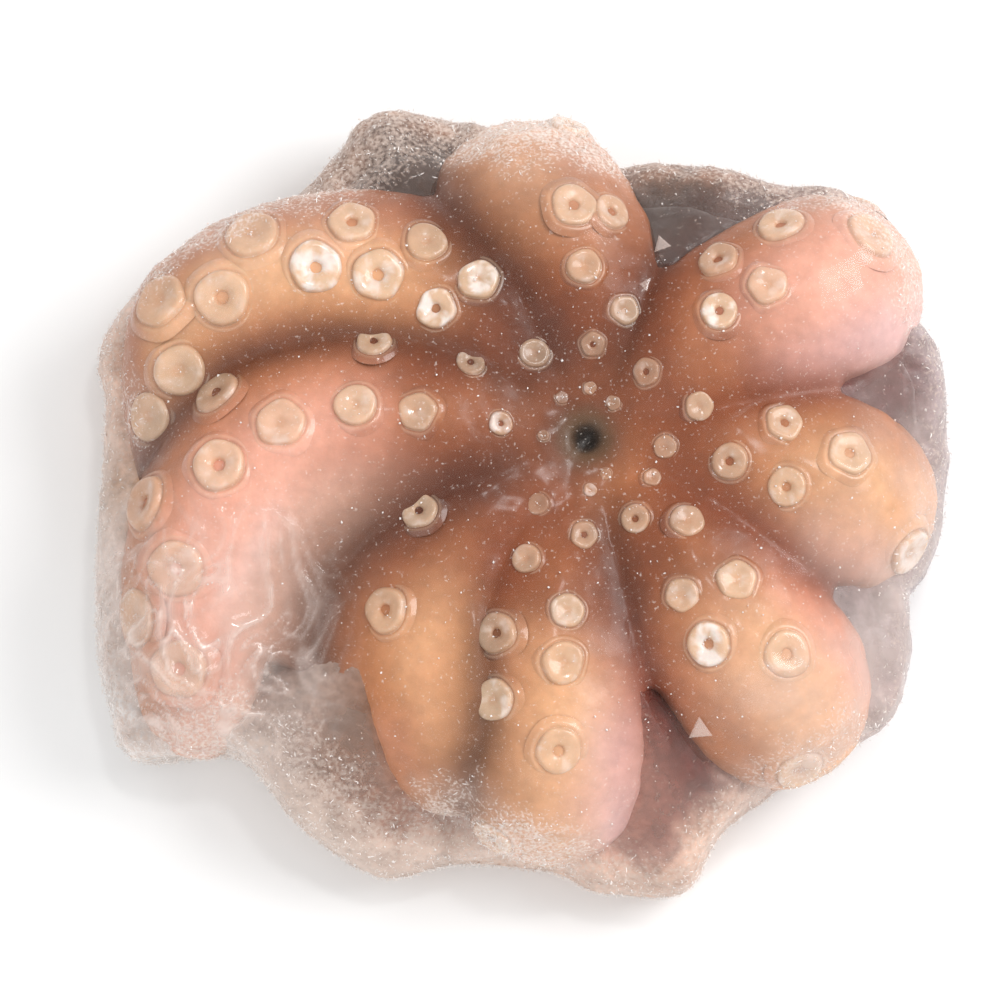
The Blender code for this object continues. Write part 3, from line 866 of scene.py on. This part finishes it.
def make_film(surfaces):
    """Make the clear film that is stretched over the block and crumpled at one corner."""
    xs = np.arange(-118.0, 119.0, FILM_PITCH)
    ys = np.arange(-109.0, 110.0, FILM_PITCH)
    heights = height_map(surfaces, xs, ys)
    skin = stretch(heights, FILM_ROUNDS)
    across, along = np.meshgrid(xs, ys)
    points = np.column_stack([across.ravel(), along.ravel(), skin.ravel()])
    gap = points[:, 2] - heights.ravel()
    inset = inset_of(points)
    (x, y), (wide, deep) = CRUMPLE
    loose = np.exp(-((points[:, 0] - x) / wide) ** 4 - ((points[:, 1] - y) / deep) ** 4)
    flat = points * (1.0, 1.0, 0.0)
    warp = np.column_stack([soft_noise(flat, 17.0, seed) for seed in (61, 62, 63)]) * 8.0
    folds = ridges(flat, 1.3 * warp, 10.0, 67)
    creases = ridges(flat * (1.0, 0.55, 1.0), 1.2 * warp, 3.6, 71)
    edge = by_direction(RIME, points, 1) * smoothstep(22.0 - inset, 0.0, 12.0)
    taut = 0.35 * soft_noise(flat, 6.0, 79) * (0.2 + edge)
    raised = FOLD_HEIGHT * folds + CREASE_HEIGHT * creases ** 2
    points[:, 2] += FILM_LIFT + taut + loose * raised
    rim = smoothstep(20.0 - inset, 0.0, 14.0)
    haze = smoothstep(gap, 1.5, 14.0) * smoothstep(26.0 - inset, 0.0, 16.0)
    cloud = 0.6 + 0.8 * layered_noise(points, 15.0, 73)
    fog = by_direction(FOG, points, 1) * smoothstep(42.0 - inset, 0.0, 26.0) * cloud
    veil = 0.01 + 0.16 * haze + 0.04 * rim + np.clip(fog, 0.0, 1.0)
    # the loose film is a little hazy all over, and painted highlights whiten the crests of its
    # folds and creases
    veil = veil + loose * (0.08 + 0.25 * folds ** 3 + 0.45 * creases ** 5)
    inside = heights.ravel() > FILM_LOWEST
    faces = grid_faces(len(ys), len(xs), False)
    faces = faces[np.all(inside[faces], axis=1)]
    mesh = mesh_from_arrays("film", points, faces)
    store(mesh, "veil", veil)
    drop_loose(mesh)
    mesh.shade_smooth()
    return add_object("film", mesh)


def drop_loose(mesh):
    """Remove the points that no face uses."""
    shape = bmesh.new()
    shape.from_mesh(mesh)
    bmesh.ops.delete(shape, geom=[v for v in shape.verts if not v.link_faces], context="VERTS")
    shape.to_mesh(mesh)
    shape.free()


# ---- frost -------------------------------------------------------------------------------------
def scatter(sources, count, plain, seed):
    """Pick places on the surfaces, thickest where the frost is."""
    chance = np.random.default_rng(seed)
    spots = np.vstack([points_of(source.data) for source in sources])
    facings = np.vstack([normals_of(source.data) for source in sources])
    weight = (plain + rime_on(spots)) * (spots[:, 2] > 3.0)
    picked = chance.choice(len(spots), count, p=weight / weight.sum())
    jitter = chance.uniform(-0.5, 0.5, (count, 3))
    return spots[picked] + jitter, facings[picked], chance


def random_turns(chance, count):
    """Return random axes for each of many small things."""
    return np.linalg.qr(chance.normal(size=(count, 3, 3)))[0]


def small_things(name, places, turns, sizes, shape, faces):
    """Join many turned and sized copies of a small shape into one object."""
    shape = np.broadcast_to(shape, (len(places), *np.shape(shape)[-2:]))
    points = places[:, None, :] + np.einsum("nij,nkj->nki", turns, shape) * sizes[:, None, None]
    corners = shape.shape[1]
    faces = np.array(faces)[None, :, :] + corners * np.arange(len(places))[:, None, None]
    mesh = mesh_from_arrays(name, points.reshape(-1, 3), faces.reshape(-1, faces.shape[-1]))
    return add_object(name, mesh)


def make_grains(sources):
    """Scatter small ice crystals."""
    places, facings, chance = scatter(sources, GRAIN_COUNT, 0.10, 17)
    sizes = 0.12 + 0.26 * chance.random(GRAIN_COUNT) ** 3
    places = places + facings * (0.5 * sizes)[:, None]
    corners = np.array([(1, 0, 0), (0, 1, 0), (-1, 0, 0), (0, -1, 0), (0, 0, 1), (0, 0, -1)])
    shape = corners * chance.uniform(0.5, 1.5, (GRAIN_COUNT, 1, 3))
    faces = ((0, 1, 4), (1, 2, 4), (2, 3, 4), (3, 0, 4),
             (1, 0, 5), (2, 1, 5), (3, 2, 5), (0, 3, 5))
    return small_things("frost_grains", places, random_turns(chance, GRAIN_COUNT), sizes,
                        shape, faces)


def make_flakes(sources):
    """Scatter curled flakes of frost where the frost is thick."""
    places, facings, chance = scatter(sources, FLAKE_COUNT, 0.0, 19)
    sizes = 0.35 + 0.65 * chance.random(FLAKE_COUNT) ** 2
    places = places + facings * (0.35 * sizes)[:, None]
    shape = np.array([(-1.0, 0.0, -0.4), (-0.4, 0.14, 0.0), (0.4, 0.14, 0.0), (1.0, 0.0, -0.4),
                      (0.4, -0.14, 0.0), (-0.4, -0.14, 0.0)])
    return small_things("frost_flakes", places, random_turns(chance, FLAKE_COUNT), sizes,
                        shape, ((0, 1, 4, 5), (1, 2, 3, 4)))


def make_shards(skin):
    """Lay a few clear splinters of ice on the block."""
    shape = bmesh.new()
    for (x, y), size, spin, tilt in SHARDS:
        made = bmesh.ops.create_cone(shape, cap_ends=True, segments=3, radius1=size * MM,
                                     radius2=0.75 * size * MM,
                                     depth=SHARD_THICK * MM)["verts"]
        height = look_up(skin, np.array([[x, y]]))[0] + 0.35 * size
        turn = Matrix.Rotation(math.radians(spin), 4, "Z") @ Matrix.Rotation(
            math.radians(tilt), 4, "X")
        bmesh.ops.transform(shape, matrix=Matrix.Translation(Vector((x, y, height)) * MM) @ turn,
                            verts=made)
    mesh = bpy.data.meshes.new("ice_shards")
    shape.to_mesh(mesh)
    shape.free()
    store(mesh, "veil", np.full(len(mesh.vertices), SHARD_VEIL))
    return add_object("ice_shards", mesh)


# ---- materials ---------------------------------------------------------------------------------
def new_material(name):
    """Return a material and its shader, nodes and links."""
    made = bpy.data.materials.new(name)
    made.use_nodes = True
    tree = made.node_tree
    return made, tree.nodes["Principled BSDF"], tree


def add_node(tree, kind, **values):
    """Add a node and set its sockets and properties."""
    node = tree.nodes.new(kind)
    for key, value in values.items():
        if hasattr(node, key):
            setattr(node, key, value)
        else:
            node.inputs[key.replace("_", " ")].default_value = value
    return node


def noise(tree, scale, detail=3.0):
    """Add noise that is fixed to the object."""
    place = add_node(tree, "ShaderNodeTexCoord")
    node = add_node(tree, "ShaderNodeTexNoise", Scale=scale, Detail=detail)
    tree.links.new(place.outputs["Object"], node.inputs["Vector"])
    return node.outputs["Fac"]


def ramp(tree, source, stops):
    """Add a ramp of grey or colour over a value."""
    node = add_node(tree, "ShaderNodeValToRGB")
    tree.links.new(source, node.inputs["Fac"])
    bar = node.color_ramp
    while len(bar.elements) < len(stops):
        bar.elements.new(0.5)
    for element, (where, colour) in zip(bar.elements, stops):
        element.position = where
        element.color = (*colour, 1.0)
    return node.outputs["Color"]


def blend(tree, mode, share, first, second):
    """Mix two colours, where share is a number or a socket."""
    node = add_node(tree, "ShaderNodeMix", data_type="RGBA", blend_type=mode)
    for socket, value in zip((node.inputs[0], node.inputs[6], node.inputs[7]),
                             (share, first, second)):
        if isinstance(value, bpy.types.NodeSocket):
            tree.links.new(value, socket)
        else:
            socket.default_value = value
    return node.outputs[2]


def bump(tree, shader, source, strength, distance):
    """Roughen a shader's surface."""
    node = add_node(tree, "ShaderNodeBump", Strength=strength, Distance=distance)
    tree.links.new(source, node.inputs["Height"])
    tree.links.new(node.outputs["Normal"], shader.inputs["Normal"])


def attribute(tree, name, output):
    """Read a painted colour or number."""
    return add_node(tree, "ShaderNodeAttribute", attribute_name=name).outputs[output]


def rime_mask(tree, scale, reach):
    """Return speckles of frost, thickest where the rime is."""
    node = add_node(tree, "ShaderNodeMath", operation="MULTIPLY_ADD")
    tree.links.new(attribute(tree, "rime", "Fac"), node.inputs[0])
    node.inputs[1].default_value = reach
    tree.links.new(noise(tree, scale, 4.0), node.inputs[2])
    return ramp(tree, node.outputs[0], ((0.62, (0.0,) * 3), (0.90, (0.9,) * 3)))


def flesh_material(name, glaze):
    """Return glazed flesh: the painted tone, fine mottling, and white specks of frost."""
    made, shader, tree = new_material(name)
    grey = ramp(tree, noise(tree, 260.0, 4.0), ((0.3, (0.90,) * 3), (0.7, (1.08,) * 3)))
    colour = blend(tree, "MULTIPLY", 1.0, attribute(tree, "tone", "Color"), grey)
    colour = blend(tree, "MIX", rime_mask(tree, 1100.0, 0.30), colour, (*FROST, 1.0))
    tree.links.new(colour, shader.inputs["Base Color"])
    gloss = ramp(tree, noise(tree, 160.0), ((0.35, (0.35,) * 3), (0.7, (0.6,) * 3)))
    tree.links.new(gloss, shader.inputs["Roughness"])
    shader.inputs["Subsurface Weight"].default_value = 0.15
    shader.inputs["Subsurface Scale"].default_value = 0.002
    shader.inputs["Subsurface Radius"].default_value = (1.0, 0.45, 0.3)
    shader.inputs["Specular IOR Level"].default_value = 0.3
    shader.inputs["Coat Weight"].default_value = glaze
    shader.inputs["Coat Roughness"].default_value = 0.12
    bump(tree, shader, noise(tree, 420.0, 4.0), 0.35, 0.0006)
    return made


def ice_material():
    """Return frosted ice that lets the flesh show through."""
    made, shader, tree = new_material("clear_ice")
    grey = ramp(tree, noise(tree, 420.0, 5.0), ((0.3, (0.78,) * 3), (0.7, (1.18,) * 3)))
    colour = blend(tree, "MULTIPLY", 1.0, attribute(tree, "tone", "Color"), grey)
    colour = blend(tree, "MIX", rime_mask(tree, 900.0, 0.32), colour, (*RIMED, 1.0))
    tree.links.new(colour, shader.inputs["Base Color"])
    tree.links.new(attribute(tree, "body", "Fac"), shader.inputs["Alpha"])
    shader.inputs["Roughness"].default_value = 0.3
    shader.inputs["Specular IOR Level"].default_value = 0.3
    shader.inputs["Coat Weight"].default_value = 0.2
    shader.inputs["Coat Roughness"].default_value = 0.08
    bump(tree, shader, noise(tree, 380.0, 5.0), 0.6, 0.001)
    return made


def film_material(name):
    """Return a clear skin, whiter where it is fogged, with painted highlights where it is creased.
    """
    made, shader, tree = new_material(name)
    tree.links.new(attribute(tree, "veil", "Fac"), shader.inputs["Alpha"])
    shader.inputs["Base Color"].default_value = (*linear(236, 216, 206), 1.0)
    shader.inputs["Roughness"].default_value = 0.08
    shader.inputs["IOR"].default_value = 2.0
    return made


def frost_material():
    """Return white frost."""
    made, shader, _ = new_material("frost")
    shader.inputs["Base Color"].default_value = (*linear(244, 238, 234), 1.0)
    shader.inputs["Roughness"].default_value = 0.25
    return made


# ---- stage -------------------------------------------------------------------------------------
def add_lamp(name, place, size, power):
    """Add a soft square lamp that faces the block."""
    data = bpy.data.lights.new(name, "AREA")
    data.size = size
    data.energy = power
    lamp = bpy.data.objects.new(name, data)
    lamp.location = place
    lamp.rotation_euler = (-Vector(place)).to_track_quat("-Z", "Y").to_euler()
    bpy.context.scene.collection.objects.link(lamp)


def make_stage():
    """Make the floor, the lamps and the camera."""
    bpy.ops.mesh.primitive_plane_add(size=FLOOR_SIZE, location=(0, 0, -FLOOR_DROP))
    floor = bpy.context.object
    floor.name = "floor"
    made, shader, _ = new_material("floor")
    shader.inputs["Base Color"].default_value = FLOOR_WHITE
    shader.inputs["Roughness"].default_value = 0.9
    floor.data.materials.append(made)

    world = bpy.data.worlds.new("studio")
    world.use_nodes = True
    world.node_tree.nodes["Background"].inputs["Color"].default_value = (1.0, 1.0, 1.0, 1.0)
    world.node_tree.nodes["Background"].inputs["Strength"].default_value = SKY_STRENGTH
    bpy.context.scene.world = world
    for name, place, size, power in LAMPS:
        add_lamp(name, place, size, power)

    camera_data = bpy.data.cameras.new("camera")
    camera = bpy.data.objects.new("camera", camera_data)
    bpy.context.scene.collection.objects.link(camera)
    tilt = math.radians(CAMERA_TILT)
    away = Vector((0.0, -math.cos(tilt), math.sin(tilt)))
    camera.location = Vector(CAMERA_TARGET) + away * CAMERA_DISTANCE
    camera.rotation_euler = (math.radians(90.0) - tilt, 0.0, 0.0)
    camera_data.sensor_width = SENSOR_WIDTH
    camera_data.lens = SENSOR_WIDTH * CAMERA_DISTANCE / VIEW_WIDTH
    camera_data.clip_start = CAMERA_NEAREST
    bpy.context.scene.camera = camera
    bpy.context.scene.view_settings.view_transform = "Standard"


def main():
    """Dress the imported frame."""
    make_stage()
    flesh, skin = make_flesh()
    surface = surface_of(flesh)
    suckers = make_suckers(place_suckers(surface))
    ice = make_ice(skin)
    film = make_film((surface, surface_of(ice), surface_of(suckers)))
    crusted = (flesh, ice, suckers)
    frost = frost_material()
    pieces = (
        (flesh, flesh_material("octopus_flesh", 0.14), "octopus", "octopus_flesh"),
        (suckers, flesh_material("sucker_flesh", 0.7), "octopus", "octopus_flesh"),
        (ice, ice_material(), "ice", "clear_ice"),
        (film, film_material("film"), "", "clear_ice"),
        (make_shards(skin), film_material("ice_shards"), "", "clear_ice"),
        (make_grains(crusted), frost, "", "clear_ice"),
        (make_flakes(crusted), frost, "", "clear_ice"),
    )
    for item, made, node, slot in pieces:
        item.data.materials.clear()
        item.data.materials.append(made)
        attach(item, "root")
        if node:
            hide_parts(node)


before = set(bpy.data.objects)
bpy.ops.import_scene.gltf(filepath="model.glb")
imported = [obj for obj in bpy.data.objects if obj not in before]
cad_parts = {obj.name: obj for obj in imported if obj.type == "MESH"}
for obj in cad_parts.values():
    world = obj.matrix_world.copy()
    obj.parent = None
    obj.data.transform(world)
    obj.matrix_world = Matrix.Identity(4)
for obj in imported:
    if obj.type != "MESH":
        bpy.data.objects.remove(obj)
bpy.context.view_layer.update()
main()
